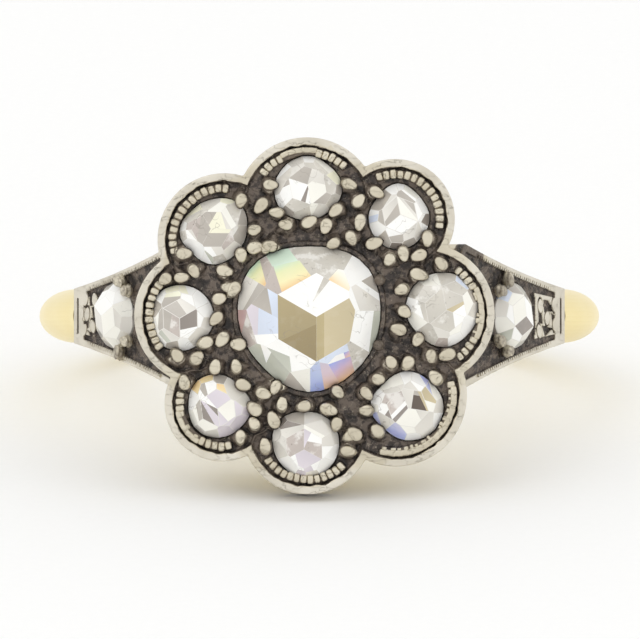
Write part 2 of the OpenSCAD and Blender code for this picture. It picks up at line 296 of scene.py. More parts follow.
class Finish:
    """A material in the making."""

    def __init__(self, name):
        self.material = bpy.data.materials.new(name)
        self.material.use_nodes = True
        self.tree = self.material.node_tree
        self.shader = self.tree.nodes["Principled BSDF"]
        self.place = self.node("TexCoord", output="Object")

    def feed(self, socket, value):
        """Links a wire to a socket, or sets the socket to a fixed value."""
        if isinstance(value, Wire):
            self.tree.links.new(value.socket, socket)
        else:
            socket.default_value = value

    def node(self, kind, settings=None, inputs=None, output=0):
        """Any node: its kind, its settings, what its sockets get and which output is used."""
        made = self.tree.nodes.new("ShaderNode" + kind)
        for name, value in (settings or {}).items():
            if name == "stops":
                self.set_stops(made.color_ramp, value)
            else:
                setattr(made, name, value)
        for name, value in (inputs or {}).items():
            self.feed(made.inputs[name], value)
        return Wire(self, made.outputs[output])

    def set_stops(self, colour_ramp, stops):
        while len(colour_ramp.elements) < len(stops):
            colour_ramp.elements.new(0.5)
        for element, (position, colour) in zip(colour_ramp.elements, stops):
            element.position, element.color = position, colour

    def mix(self, share, first, second):
        """A colour between two colours."""
        return self.node("Mix", {"data_type": "RGBA"}, {0: share, 6: first, 7: second}, 2)

    def noise(self, scale, detail=4, roughness=0.5, place=None):
        """Cloudy noise with a scale in lumps to the millimetre."""
        inputs = {"Scale": scale / MM, "Detail": detail, "Roughness": roughness}
        inputs["Vector"] = place or self.place
        return self.node("TexNoise", None, inputs)

    def stretched(self, stretch, turn=(0, 0, 0)):
        """The place on the piece, turned and stretched, for lines that run one way."""
        return self.node("Mapping", None, {"Vector": self.place, "Scale": stretch, "Rotation": turn})

    def mark(self, name):
        """A number that a piece carries at each of its points."""
        return self.node("Attribute", {"attribute_name": name}, output="Fac")

    def bump(self, height, depth):
        """Relief of a depth in millimetres."""
        return self.node("Bump", None, {"Height": height, "Distance": depth * MM, "Strength": 1.0})

    def set(self, **sockets):
        """Feeds the shader's sockets, with an underscore in a name for each space."""
        for name, value in sockets.items():
            self.feed(self.shader.inputs[name.replace("_", " ")], value)
        return self.material


print("shader maths ready")

# %% [markdown]
# ## Gold for the shank
#
# Old gold that has been worn for a century is bright on its crown, with fine scratches that
# run round the band, and slightly duller where fingers don't rub. The scratches are noise
# stretched along the band, and they touch the roughness and the relief, not the colour.
#
# %% Old gold


def old_gold():
    """Gold with clouds of wear, scratches round the band and shallow dents."""
    gold = Finish("old_gold")
    lean = math.atan2(finger.y, finger.z)
    clouds = gold.noise(0.3, 3)
    mottle = gold.noise(3.5, 5, 0.6)
    along = gold.stretched((1, 1, 16), (-lean, 0, 0))
    scratches = gold.noise(2.2, 8, 0.7, along).step(0.52, 0.72)
    dents = gold.noise(0.9, 2)
    colour = gold.mix(clouds.step(0.35, 0.7), paint(246, 229, 172), paint(250, 236, 188))
    colour = gold.mix(mottle.step(0.58, 0.8) * 0.1, colour, paint(232, 206, 142))
    relief = gold.bump(scratches * 0.5 + dents * 2 + mottle * 0.3, 0.004)
    return gold.set(
        Base_Color=colour, Metallic=0.9, Roughness=0.3 + clouds * 0.06 + scratches * 0.06, Normal=relief)


shank = frame["nodes"]["shank"]
shank.data.materials.clear()
shank.data.materials.append(old_gold())
print("shank:", len(shank.data.polygons), "faces of gold")

# %% [markdown]
# ## Silver that keeps its tarnish
#
# The head and shoulders are silver. Where fingers and cloths reach, it is a soft pale grey,
# and in every cut it keeps a brown-black tarnish. Each piece carries a mark of polish, from 0
# in the bottom of a cut to 1 on its high metal; near the root of the right shoulder the mark
# is also lowered as painted shade. The material reads it and breaks its edge up with noise,
# because real tarnish never ends in a clean line.
#
# %% Tarnished silver


def tarnished_silver():
    """Silver that goes from soot to worn metal by the polish mark of its piece, a mark that also carries
    painted shade on the right shoulder.
    """
    silver = Finish("tarnished_silver")
    clouds = silver.noise(0.9, 4)
    grit = silver.noise(9, 6, 0.65)
    pits = silver.noise(22, 3, 0.6)
    lumps = silver.noise(2.6, 7, 0.66)
    rubbed = silver.stretched((1, 5, 1), (0.3, 0.5, 0.9))
    scratches = silver.noise(6, 5, 0.7, rubbed).step(0.55, 0.8)
    graved = silver.stretched((1, 1, 2.2), (0.4, 0.2, 0.7))
    cuts = silver.noise(1.3, 3, 0.5, graved).near(0.5, 0.009)
    scored = silver.stretched((2, 1, 1), (0.9, 0.1, 0.3))
    scores = silver.noise(2.1, 2, 0.4, scored).near(0.46, 0.008)
    polish = silver.mark("polish")
    bright = (polish + (grit - 0.5) * 0.24 + (clouds - 0.5) * 0.1).step(0.45, 0.57)
    high = silver.mix(clouds.step(0.3, 0.7), paint(211, 204, 188), paint(226, 220, 206))
    low = silver.mix(clouds.step(0.35, 0.65), paint(204, 195, 174), paint(218, 210, 190))
    warm = silver.mix(polish.step(0.8, 0.97), low, high)
    worn = silver.mix(scratches * 0.2 + pits.step(0.62, 0.76) * 0.22, warm, paint(160, 150, 132))
    soot = silver.mix(lumps.step(0.4, 0.47), paint(42, 37, 34), paint(66, 58, 53))
    soot = silver.mix(lumps.step(0.5, 0.54) * 0.85, soot, paint(116, 104, 93))
    soot = silver.mix(polish.step(0.1, 0.34) * 0.7, soot, paint(120, 108, 95))
    soot = silver.mix(grit.step(0.55, 0.75) * 0.35, soot, paint(128, 118, 106))
    soot = silver.mix((cuts + scores) * lumps.step(0.36, 0.46) * 0.75, soot, paint(170, 160, 144))
    grain_of_silver = grit * 1.2 + pits * 0.5 + scratches * 0.3
    relief = silver.bump(grain_of_silver + lumps * (2 - bright * 2) - cuts * 2, 0.014)
    return silver.set(
        Base_Color=silver.mix(bright, soot, worn), Metallic=0.3 + bright * 0.65,
        Roughness=0.42 - bright * 0.08 + scratches * 0.08, Normal=relief)


silver = tarnished_silver()
print("silver ready")

# %% [markdown]
# ## Where the grains are
#
# A grain is a drop of silver that the setter raises with a graver and pushes over the edge of
# a stone. In the CAD model every grain is a ball, so the grains are found by themselves: they
# are the highest metal above the sloping ground. Points that lie close together are one grain.
#
# %% Find the grains of the head


def clusters(rows, reach):
    """Groups points that lie near each other and returns the middle of each group."""
    groups = []
    for row in rows:
        for group in groups:
            if np.linalg.norm(group[0] - row) < reach:
                group.append(row)
                break
        else:
            groups.append([row])
    return np.array([np.mean(group, axis=0) for group in groups])


def relief_of(rows):
    """Height of each point above the sloping ground."""
    return rows[:, 2] - ground_height(rows[:, 0], rows[:, 1])


def inside_of(rows):
    """How far inside the outline each point lies."""
    return depth_inside(rows[:, 0], rows[:, 1])


high = (relief_of(head_points) > 0.325) & (inside_of(head_points) > RIM_WIDTH + 0.1)
head_grains = clusters(head_points[high], 0.25)
print("grains on the head:", len(head_grains))

# %% [markdown]
# ## The body of the head
#
# The CAD head has knife edges. The copy is remeshed in fine voxels, which softens them, and
# then it is carved. Each grain gets a wide foot, as metal was pushed up to it from all sides.
# Between the feet the ground is hollowed. A thin web is left where two petals meet the rim,
# and the rim's inner edge is made ragged, as a graver leaves it.
#
# %% Remesh the head

HEAD_VOXEL = 0.034

head_body = weld(twin(frame["nodes"]["head"], "head_body"))
apply_modifier(
    head_body, "REMESH", mode="VOXEL", voxel_size=HEAD_VOXEL * MM, use_smooth_shade=True)
apply_modifier(head_body, "SMOOTH", factor=0.5, iterations=4)
print("head body:", len(head_body.data.vertices), "points")

# %% Gaps between places


def move_points(piece, rows, axes=RING):
    """Puts the points of a piece at rows of millimetres in the ring's axes or in other ones."""
    turn = np.array(axes)
    piece.data.vertices.foreach_set("co", (rows @ turn[:3, :3].T + turn[:3, 3]).ravel())
    piece.data.update()
    return piece


def gap_to(rows, places):
    """Distance across from each point to the nearest of these places."""
    gaps = [np.hypot(rows[:, 0] - place[0], rows[:, 1] - place[1]) for place in places]
    return np.min(gaps, axis=0)


def gap_to_line(rows, start, end):
    """Distance across from each point to a straight line between two places."""
    along = np.array(end) - np.array(start)
    off = rows[:, :2] - np.array(start)
    share = np.clip(off @ along / (along @ along), 0, 1)
    return np.hypot(*(off - np.outer(share, along)).T)


first_gap = gap_to(head_grains[:1], head_grains[1:])
print("gap from the first grain to its neighbour, mm:", first_gap.round(2))

# %% Webs from the cusps


def cusp(first, second):
    """Where the inner edges of the rim of two neighbouring lobes cross."""
    start, end = lobe_middle(first), lobe_middle(second)
    a, b = (lobe[2] * LOBE_R - RIM_WIDTH for lobe in (first, second))
    apart = (end - start).length
    along = (apart ** 2 + a ** 2 - b ** 2) / (2 * apart)
    way = (end - start).normalized()
    return start + way * along + Vector((way.y, -way.x, 0)) * math.sqrt(a ** 2 - along ** 2)


def webs():
    """Bent lines from each cusp of the rim towards the middle."""
    luck = random.Random(5)
    lines = []
    for first, second in zip(LOBES, LOBES[1:] + LOBES[:1]):
        place = cusp(first, second)
        inward = (Vector((HEAD_SHIFT, 0, 0)) - place).normalized()
        for length in (0.3, 0.35, 0.25):
            bend = Matrix.Rotation(luck.uniform(-0.7, 0.7), 3, "Z")
            step = place + bend @ inward * length
            lines.append((tuple(place)[:2], tuple(step)[:2]))
            place = step
    return lines


print("webs:", len(webs()), "lines")

# %% Feet and hollows


def rough(rows, mask, scale, seed, ridged=True):
    """Noise at the points of a mask, as sharp ridges or as soft waves."""
    values = np.zeros(len(rows))
    for i in np.nonzero(mask > 0.02)[0]:
        place = Vector(rows[i]) * scale + Vector((seed, 0, 0))
        if ridged:
            values[i] = noise.ridged_multi_fractal(place, 0.9, 2.1, 4, 1.0, 2.0) - 1.1
        else:
            values[i] = noise.noise(place)
    return values


def carve_head(piece):
    """Moves the points of the ground, the collar and the rim's inner edge as a graver would."""
    rows = points_of(piece)
    relief, inside = relief_of(rows), inside_of(rows)
    near = gap_to(rows, head_grains)
    ground = ramp(inside, RIM_WIDTH + 0.02, RIM_WIDTH + 0.1) * ramp(relief, -0.3, -0.12)
    ground *= np.maximum(1 - ramp(relief, 0.1, 0.17), 1 - ramp(near, 0.2, 0.24))
    uneven = near + rough(rows, ground, 2.6, 21.0, False) * 0.22
    foot = 0.25 * (1 - ramp(uneven, 0.14, 0.36))
    hollow = -0.15 * ramp(uneven, 0.26, 0.5)
    web = 0.12 * np.max([1 - ramp(gap_to_line(rows, *line), 0.015, 0.055) for line in webs()], axis=0)
    wild = rough(rows, ground, 1.7, 3.0) * 0.085 + rough(rows, ground, 4.4, 11.0) * 0.035
    wild *= ramp(near, 0.16, 0.28)
    target = np.maximum(foot + hollow + wild, web - 0.05)
    rows[:, 2] += ground * (target - np.where(near < 0.24, relief, 0))
    collar = ramp(relief, 0.06, 0.1) * ramp(near, 0.18, 0.26) * ramp(inside, 0.9, 1.0) * (1 - ground)
    rows[:, 2] -= collar * (0.07 - rough(rows, collar, 3.4, 15.0) * 0.06)
    edge = ramp(inside, 0.16, 0.24) * (1 - ramp(inside, 0.32, 0.38)) * ramp(relief, -0.05, 0.05)
    outward = rows[:, :2] - [HEAD_SHIFT, 0]
    outward /= np.hypot(outward[:, 0], outward[:, 1])[:, None]
    rows[:, :2] += outward * (edge * rough(rows, edge, 3.2, 9.0, False) * 0.07)[:, None]
    return move_points(piece, rows)


carve_head(head_body)
print("top of the carved head, mm:", points_of(head_body)[:, 2].max().round(2))

# %% [markdown]
# ## Thinning without losing the cuts
#
# The remesh spends as many faces on the flat back as on the carving. Decimate takes them
# away where the surface is flat first, which leaves the detail of the front alone.
#
# %% Thin the head body

HEAD_LIMIT = 185000


def thin(piece, limit):
    """Brings a piece under a number of triangles."""
    apply_modifier(piece, "TRIANGULATE")
    faces = len(piece.data.polygons)
    if faces > limit:
        apply_modifier(piece, "DECIMATE", ratio=limit / faces)
    piece.data.shade_smooth()
    return piece


thin(head_body, HEAD_LIMIT)
print("head body:", len(head_body.data.polygons), "triangles")

# %% [markdown]
# ## Grains
#
# A grain that has been worn for a century is a pebble: a broad flat top with a soft edge,
# steep sides and a tail where the graver raised it. One pebble is made from a sphere. Its
# upper rings are pressed down and spread, and one side is drawn out to the tail.
#
# %% One grain


def pick(piece, wanted):
    """Selects the points of a piece for which a test holds, and opens the piece for editing."""
    take(piece)
    bpy.ops.object.mode_set(mode="EDIT")
    bpy.ops.mesh.select_mode(type="VERT")
    bpy.ops.mesh.select_all(action="DESELECT")
    bpy.ops.object.mode_set(mode="OBJECT")
    for vertex in piece.data.vertices:
        vertex.select = wanted(vertex.co)
    bpy.ops.object.mode_set(mode="EDIT")


def pebble():
    """A grain of radius 1 at the origin, with its tail towards -X."""
    bpy.ops.object.select_all(action="DESELECT")
    bpy.ops.mesh.primitive_uv_sphere_add(segments=16, ring_count=10, radius=1)
    piece = bpy.context.object
    pick(piece, lambda place: place.z > 0.45)
    bpy.ops.transform.resize(value=(1.2, 1.2, 0.26), center_override=(0, 0, 0.45))
    bpy.ops.object.mode_set(mode="OBJECT")
    pick(piece, lambda place: place.z < -0.2)
    bpy.ops.transform.resize(value=(1.3, 1.3, 1), center_override=(0, 0, 0))
    bpy.ops.object.mode_set(mode="OBJECT")
    pick(piece, lambda place: place.x < -0.7 and abs(place.y) < 0.45)
    bpy.ops.transform.translate(
        value=(-0.4, 0, 0), use_proportional_edit=True,
        proportional_edit_falloff="SMOOTH", proportional_size=0.9)
    bpy.ops.object.mode_set(mode="OBJECT")
    return piece


grain = pebble()
PEBBLE_TOP = max(vertex.co.z for vertex in grain.data.vertices)
print("one grain:", len(grain.data.polygons), "faces, top at", round(PEBBLE_TOP, 2))

# %% [markdown]
# ## Setting the grains
#
# Each copy is turned, sized and tilted by chance, from a fixed seed, as no two grains of hand
# work are alike. Its top stays at the height of the CAD grain.
#
# %% Copy the grains to their places

chance = random.Random(7)


def set_grains(tops, name, axes=RING):
    """One pebble for each place that a grain's top has, joined in one piece."""
    pieces = []
    for top in tops:
        turn = chance.uniform(0, 2 * math.pi)
        size = GRAIN_R * chance.uniform(0.94, 1.16)
        long, high = chance.uniform(1.0, 1.18), chance.uniform(1.0, 1.2)
        stretch = Matrix.Diagonal((size * long, size / math.sqrt(long), size * high, 1))
        tilt = Matrix.Rotation(chance.uniform(-0.2, 0.2), 4, "Y")
        seat = Matrix.Translation(Vector(top) - Vector((0, 0, PEBBLE_TOP * size * high - 0.01)))
        copy = twin(grain, "grain")
        pieces.append(lay(copy, axes @ seat @ Matrix.Rotation(turn, 4, "Z") @ tilt @ stretch))
    grains = join(pieces, name)
    grains.data.shade_smooth()
    return grains


grains = set_grains(head_grains, "grains")
print("grains:", len(grains.data.polygons), "faces")

# %% [markdown]
# ## Milling
#
# The ledge round each petal is rolled with a millgrain wheel, which leaves a row of square
# beads. One bead is a block with rounded edges. It is copied along each arc of the ledges,
# and each copy is turned and sized a little by chance. Where the ledge has worn, the beads
# have run together into a smooth band, and only a few crumbs are left along its inner side.
#
# %% One bead and its arcs

BEAD_PITCH = 0.24
BEAD_Z = RIM_Z - LEDGE_DROP - 0.03


def bead():
    """A block of size 1 at the origin with rounded edges."""
    bpy.ops.object.select_all(action="DESELECT")
    bpy.ops.mesh.primitive_cube_add(size=1)
    return apply_modifier(bpy.context.object, "BEVEL", width=0.28, segments=3, limit_method="NONE")


def round_lobe(lobe, off, out, size, master):
    """A bead beside a lobe's middle: how far off its direction, how far out, and its size."""
    turn = math.radians(lobe[0] + off)
    place = lobe_middle(lobe) + Vector((out * math.cos(turn), out * math.sin(turn), BEAD_Z))
    spin = Matrix.Rotation(turn + chance.uniform(-0.11, 0.11), 4, "Z")
    copy = twin(master, "bead")
    return lay(copy, RING @ Matrix.Translation(place) @ spin @ Matrix.Diagonal((*size, 1)))


def mill_ledge(lobe, master):
    """The beads of one lobe's ledge, with its worn stretch as a band and crumbs."""
    outer = lobe[2] * LOBE_R - RIM_WIDTH - LEDGE_GAP
    middle = outer - LEDGE_WIDTH / 2
    count = round(math.radians(2 * lobe[3]) * middle / BEAD_PITCH)
    pieces = []
    for i in range(count):
        off = -lobe[3] + (i + 0.5) * 2 * lobe[3] / count
        if lobe[4] and lobe[4][0] < off < lobe[4][1]:
            width, crumbs = lobe[4][2:]
            size = (width * 0.72, BEAD_PITCH * 1.5, 0.2)
            pieces.append(round_lobe(lobe, off, outer + 0.04 - width * 0.36, size, master))
            if chance.random() < crumbs:
                wide, long = chance.uniform(0.3, 0.6), chance.uniform(0.4, 0.85)
                size = (width * wide, BEAD_PITCH * long, 0.18)
                crumb_off = off + math.degrees(chance.uniform(-0.3, 0.3) * BEAD_PITCH / middle)
                pieces.append(round_lobe(lobe, crumb_off, outer + 0.04 - width * 0.78, size, master))
        else:
            wide, long = chance.uniform(0.98, 1.14), chance.uniform(0.84, 0.98)
            size = (LEDGE_WIDTH * wide, BEAD_PITCH * long, 0.24 * chance.uniform(0.9, 1.12))
            out = middle + chance.uniform(-0.015, 0.015)
            pieces.append(round_lobe(lobe, off, out, size, master))
    return pieces


master_bead = bead()
head_beads = []
for lobe in LOBES:
    head_beads += mill_ledge(lobe, master_bead)
milling = join(head_beads, "milling")
milling.data.shade_smooth()
print("beads:", len(head_beads), "in", len(milling.data.polygons), "faces")

# %% [markdown]
# ## Polish marks for the head
#
# The polish mark follows the height above the ground: the bottom of a cut is 0 and the rim
# is 1. The carved body, the grains and the beads of the milling stay below 1, where the
# material is less bright. Beads are marked by their own height, as the ground beside them
# falls away. The outer wall of the head is handled all the time, so it is polished too, but
# its foot, which a cloth misses, is less so.
#
# %% Mark what is polished


def mark_head(piece, low, high, top):
    """Marks a piece of the head from 0 at a low height to top at a high one."""
    rows = points_of(piece)
    relief, inside = relief_of(rows), inside_of(rows)
    rim = 1 - ramp(inside, RIM_WIDTH - 0.04, RIM_WIDTH + 0.03)
    wall = rim * (0.4 + 0.25 * ramp(relief, -1.0, 0) + 0.35 * ramp(relief, 0.14, 0.24))
    note(piece, "polish", np.maximum(ramp(relief, low, high) * top, wall))
    piece.data.materials.append(silver)
    return piece


mark_head(head_body, -0.12, 0.4, 0.58)
mark_head(grains, 0.14, 0.32, 0.78)
mark_head(milling, 0.17, 0.27, 0.82)
bead_tops = 0.82 * ramp(points_of(milling)[:, 2], RIM_Z - 0.09, RIM_Z - 0.02)
milling.data.attributes["polish"].data.foreach_set("value", bead_tops.astype(np.float32))
for piece in (head_body, grains, milling):
    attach(piece, "root")
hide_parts("head")

# %% [markdown]
# ## Shoulders
#
# Each shoulder is a silver face with a milled strip along both edges, a cut bar near its tip
# and engraved leaves. It gets the same treatment as the head in its own axes: X up the slope
# from the tip, Y across and Z out of the face. The left shoulder's axes mirror the right's.
#
# %% The shoulders' axes

BAND_R = 10.0
SHOULDER_START = math.radians(60)
CHANNEL_DEPTH = 0.12
STRIP_WIDTH = 0.24
SHOULDER_TIP, SHOULDER_ROOT, SHOULDER_FLARE = 1.93, 5.2, 48
GALLERY_TOP_D, GALLERY_FOOT_D, GALLERY_HEIGHT, ROOT_DROP = 10.2, 8, 3.6, 0.18
HEAD_DEPTH = 1.3
tip = Vector((BAND_R * math.sin(SHOULDER_START), 0, BAND_R * math.cos(SHOULDER_START)))
root_x = (GALLERY_TOP_D - ROOT_DROP * (GALLERY_TOP_D - GALLERY_FOOT_D)) / 2
root_z = RIM_Z - HEAD_DEPTH - ROOT_DROP * GALLERY_HEIGHT
rise = math.atan2(root_z - tip.z, tip.x - root_x)
run = math.hypot(root_z - tip.z, tip.x - root_x)
right_shoulder = Matrix.Translation(tip) @ Matrix.Rotation(rise, 4, "Y") @ Matrix.Rotation(math.pi, 4, "Z")
SHOULDER_FRAMES = {
    "left": RING @ Matrix.Diagonal((-1, 1, 1, 1)) @ right_shoulder,
    "right": RING @ right_shoulder}
print("shoulders rise", round(math.degrees(rise), 1), "degrees over", round(run, 2), "mm")


def half_width(x):
    """Half the width of a shoulder's face at a distance from its tip, along its hollow side."""
    spread = (SHOULDER_ROOT - SHOULDER_TIP) / 2
    hollow = x * (run - x) / (2 * SHOULDER_FLARE) * math.hypot(1, spread / run)
    return SHOULDER_TIP / 2 + spread * x / run - hollow


print("half width in the middle, mm:", round(half_width(run / 2), 2))

# %% [markdown]
# ## Engraving
#
# The graver has cut dark cells between leaves and left the rest of the field as high silver.
# In the CAD model the leaves stand in a plain channel. Here the floor of that channel is
# raised to the face, but for the cells, a fine line round each leaf and the two tapered
# channels that run along the field. Each row of a table is one cell or one leaf, in the
# shoulder's axes in millimetres.
#
# %% The cells and leaves of both shoulders

# Leaves: place along and across, and turn in degrees
LEAVES = {
    "left": [
        (0.742, -0.598, 8), (1.355, -0.56, -8), (0.856, -0.058, 12), (1.212, 0.367, -20),
        (0.642, 0.502, 30)],
    "right": [
        (1.583, -0.347, 4), (1.134, 0.077, -4), (1.647, 0.54, 14), (0.62, 0.29, -8),
        (0.663, -0.386, 6)]}
# Cells: corners along and across
CELLS = {
    "left": [
        [(0.36, -0.72), (0.6, -0.84), (0.62, -0.3), (0.4, -0.36)],
        [(0.94, -0.85), (1.14, -0.85), (1.2, -0.36), (0.98, -0.34)],
        [(0.38, -0.24), (0.62, -0.32), (0.7, 0.0), (0.5, 0.14), (0.36, 0.0)],
        [(0.5, 0.2), (0.98, 0.12), (0.96, 0.42), (0.82, 0.42)],
        [(1.1, -0.3), (1.6, -0.4), (1.6, 0.2), (1.2, 0.08)],
        [(0.84, 0.5), (1.0, 0.7), (1.3, 0.78), (1.2, 0.6)]],
    "right": [
        [(1.4, -0.58), (1.03, -0.55), (0.84, -0.36), (0.78, -0.16), (1.34, -0.12)],
        [(0.9, -0.12), (0.42, 0.04), (0.8, 0.22)],
        [(1.5, 0.32), (0.74, 0.44), (1.27, 0.76)],
        [(1.72, -0.1), (1.42, -0.06), (1.38, 0.26), (1.7, 0.3)],
        [(1.86, -0.7), (2.2, -0.5), (2.2, 0.5), (1.86, 0.7)]]}
FIELD_END = {"left": 1.32, "right": 1.95}


def in_cell(rows, corners):
    """1 for points inside a cell with corners that go round it."""
    sides = []
    for (ax, ay), (bx, by) in zip(corners, corners[1:] + corners[:1]):
        sides.append((bx - ax) * (rows[:, 1] - ay) - (by - ay) * (rows[:, 0] - ax))
    sides = np.array(sides)
    return ((sides > 0).all(axis=0) | (sides < 0).all(axis=0)).astype(float)


def round_leaf(rows, leaf):
    """How far out of a leaf each point is: 1 on its edge."""
    turn = math.radians(leaf[2])
    x, y = rows[:, 0] - leaf[0], rows[:, 1] - leaf[1]
    along = (y * math.cos(turn) - x * math.sin(turn)) / 0.26
    across = (x * math.cos(turn) + y * math.sin(turn)) / 0.16
    return np.hypot(along, across)


def high_silver(rows, side):
    """1 where the engraved field is left high, from 0 in its cuts."""
    x, y = rows[:, 0], np.abs(rows[:, 1])
    field = ramp(x, 0.34, 0.38) * (1 - ramp(x, FIELD_END[side] - 0.03, FIELD_END[side]))
    field *= 1 - ramp(y, 0.56 + 0.12 * x, 0.6 + 0.12 * x)
    for corners in CELLS[side]:
        field *= 1 - in_cell(rows, corners)
    for leaf in LEAVES[side]:
        field *= ramp(round_leaf(rows, leaf), 1.12, 1.3)
    return field


print("cells:", {side: len(cells) for side, cells in CELLS.items()})

# %% Engrave one shoulder

FIELD_RISE = CHANNEL_DEPTH - 0.015


def engrave(body, side):
    """Raises the field, cuts a groove inside each strip and roughens the low floor."""
    axes = SHOULDER_FRAMES[side]
    rows = points_of(body, axes.inverted())
    edge = half_width(rows[:, 0]) - np.abs(rows[:, 1])
    floor = 1 - ramp(rows[:, 2], -0.06, -0.02)
    floor *= ramp(rows[:, 2], -CHANNEL_DEPTH - 0.05, -CHANNEL_DEPTH - 0.02)
    field = floor * ramp(edge, STRIP_WIDTH, STRIP_WIDTH + 0.05) * high_silver(rows, side)
    rows[:, 2] += field * FIELD_RISE
    inner = ramp(edge, 0.12, 0.15) * (1 - ramp(edge, STRIP_WIDTH + 0.02, STRIP_WIDTH + 0.06))
    inner *= ramp(rows[:, 2], -0.09, -0.04) * ramp(rows[:, 0], 0.8, 1.2)
    inner *= 1 - ramp(rows[:, 0], run - 1.3, run - 0.9)
    rows[:, 2] -= inner * 0.07
    low = floor * ramp(rows[:, 0], FIELD_END[side], FIELD_END[side] + 0.2)
    rows[:, 2] += low * (rough(rows, low, 1.3, 2.0) * 0.05 + rough(rows, low, 4.0, 8.0) * 0.02)
    return move_points(body, rows, axes)


print("the field is raised by", round(FIELD_RISE, 3), "mm")

# %% Mill the strips of one shoulder

TICK_PITCH = 0.13
TICKS = int((run - 1.9) / TICK_PITCH)


def mill_strips(side):
    """A row of ticks along both edge strips of a shoulder."""
    pieces = []
    for i in range(TICKS):
        x = 0.9 + i * TICK_PITCH
        slope = math.atan2(half_width(x + 0.1) - half_width(x), 0.1)
        for hand in (-1, 1):
            long = TICK_PITCH * chance.uniform(0.5, 0.7)
            size = Matrix.Diagonal((long, 0.13, 0.12 * chance.uniform(0.8, 1.1), 1))
            place = Matrix.Translation((x, hand * (half_width(x) - 0.17), -0.045))
            copy = twin(master_bead, "tick")
            spin = Matrix.Rotation(hand * slope, 4, "Z")
            pieces.append(lay(copy, SHOULDER_FRAMES[side] @ place @ spin @ size))
    return join(pieces, "shoulder_" + side + "_milling")


print("ticks along a strip:", TICKS)

# %% Dress both shoulders

SHOULDER_VOXEL = HEAD_VOXEL * 0.72
SHOULDER_LIMIT = 90000


def shoulder_grains(side):
    """Pebbles over the balls that stand highest on a shoulder's face."""
    axes = SHOULDER_FRAMES[side]
    rows = points_of(frame["nodes"]["shoulder_" + side], axes.inverted())
    tops = clusters(rows[rows[:, 2] > rows[:, 2].max() - 0.02], 0.25)
    return set_grains(tops, "shoulder_" + side + "_grains", axes)


def dress_shoulder(side):
    """The engraved face of a shoulder with its ticks and grains, all marked and ridden."""
    axes = SHOULDER_FRAMES[side]
    name = "shoulder_" + side
    body = weld(twin(frame["nodes"][name], name + "_body"))
    apply_modifier(
        body, "REMESH", mode="VOXEL", voxel_size=SHOULDER_VOXEL * MM, use_smooth_shade=True)
    apply_modifier(body, "SMOOTH", factor=0.5, iterations=2)
    engrave(body, side)
    thin(body, SHOULDER_LIMIT)
    ticks, pebbles = mill_strips(side), shoulder_grains(side)
    ticks.data.shade_smooth()
    for piece in (body, ticks, pebbles):
        rows = points_of(piece, axes.inverted())
        lift = rows[:, 2] + CHANNEL_DEPTH
        side_wall = 0.75 * (1 - ramp(lift, -0.3, -0.1))
        top = 1 - 0.48 * ramp(lift, CHANNEL_DEPTH + 0.02, CHANNEL_DEPTH + 0.06)
        # Painted shade: near its root the upper side of the right shoulder is marked low, so it turns dark
        # like tarnish where it lies in shade
        if side == "right":
            top *= 1 - 0.7 * ramp(rows[:, 0], run - 1.9, run - 1.2) * ramp(-rows[:, 1], 1.0, 1.2)
        note(piece, "polish", np.maximum(ramp(lift, 0.03, CHANNEL_DEPTH - 0.015) * top, side_wall))
        piece.data.materials.append(silver)
        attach(piece, "root")
    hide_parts(name)
    return body, ticks, pebbles


for side in SHOULDER_FRAMES:
    print([(piece.name, len(piece.data.polygons)) for piece in dress_shoulder(side)])
for master in (grain, master_bead):
    bpy.data.objects.remove(master)

# %% [markdown]
# ## Stones
#
# An old rose cut has a flat back and a crown of facets that meet in a point. Looked at from
# above, each facet shows one patch of the room or of the foil behind the stone, so one is
# white, the next grey or tan, and a few split the light into colours. The facets are real
# faces here, and that light is painted on them: every facet gets its own tone, a painted
# reflection written as a letter, and a fiery facet gets painted fire. The order is the three
# facets at the point, the six round them and the twelve along the edge.
#
# %% Tones of the facets, painted reflections

# Each letter's colour is painted light: the room, the foil or a highlight that the facet mirrors
TONES = {
    "W": (255, 254, 250), "C": (249, 247, 237), "P": (226, 222, 213), "G": (186, 179, 169),
    "D": (146, 137, 129), "N": (92, 78, 67), "T": (202, 188, 152), "B": (172, 156, 116),
    "H": (188, 172, 128), "J": (154, 137, 97), "L": (222, 214, 221), "S": (218, 227, 243),
    "V": (214, 216, 238), "U": (170, 174, 226), "X": (222, 214, 228), "Z": (206, 217, 240),
    "M": (192, 164, 156), "Y": (248, 245, 224), "O": (248, 224, 176), "K": (196, 198, 184),
    "A": (196, 185, 177), "F": (208, 203, 192), "R": (228, 230, 196), "I": (214, 234, 214),
    "Q": (255, 253, 248), "E": (232, 229, 222)}
FROSTED = "FA"
# Painted fire of a tone, colours of split light: how strong it is at the inner and the outer
# end of the facet, and where each end lies on the circle of colours
FIRE = {
    "R": (0.95, 0.9, 0.78, 0.22), "V": (0.1, 0.85, 0.0, 0.0), "Q": (1.0, 0.0, 0.74, 0.52),
    "O": (0.4, 0.75, 0.6, 0.72), "Y": (0.16, 0.12, 0.5, 0.45), "U": (0.6, 0.95, 0.02, -0.24),
    "X": (0.1, 0.9, -0.05, -0.24), "Z": (0.2, 0.9, 0.04, 0.0), "M": (0.1, 0.3, 0.92, 0.86)}
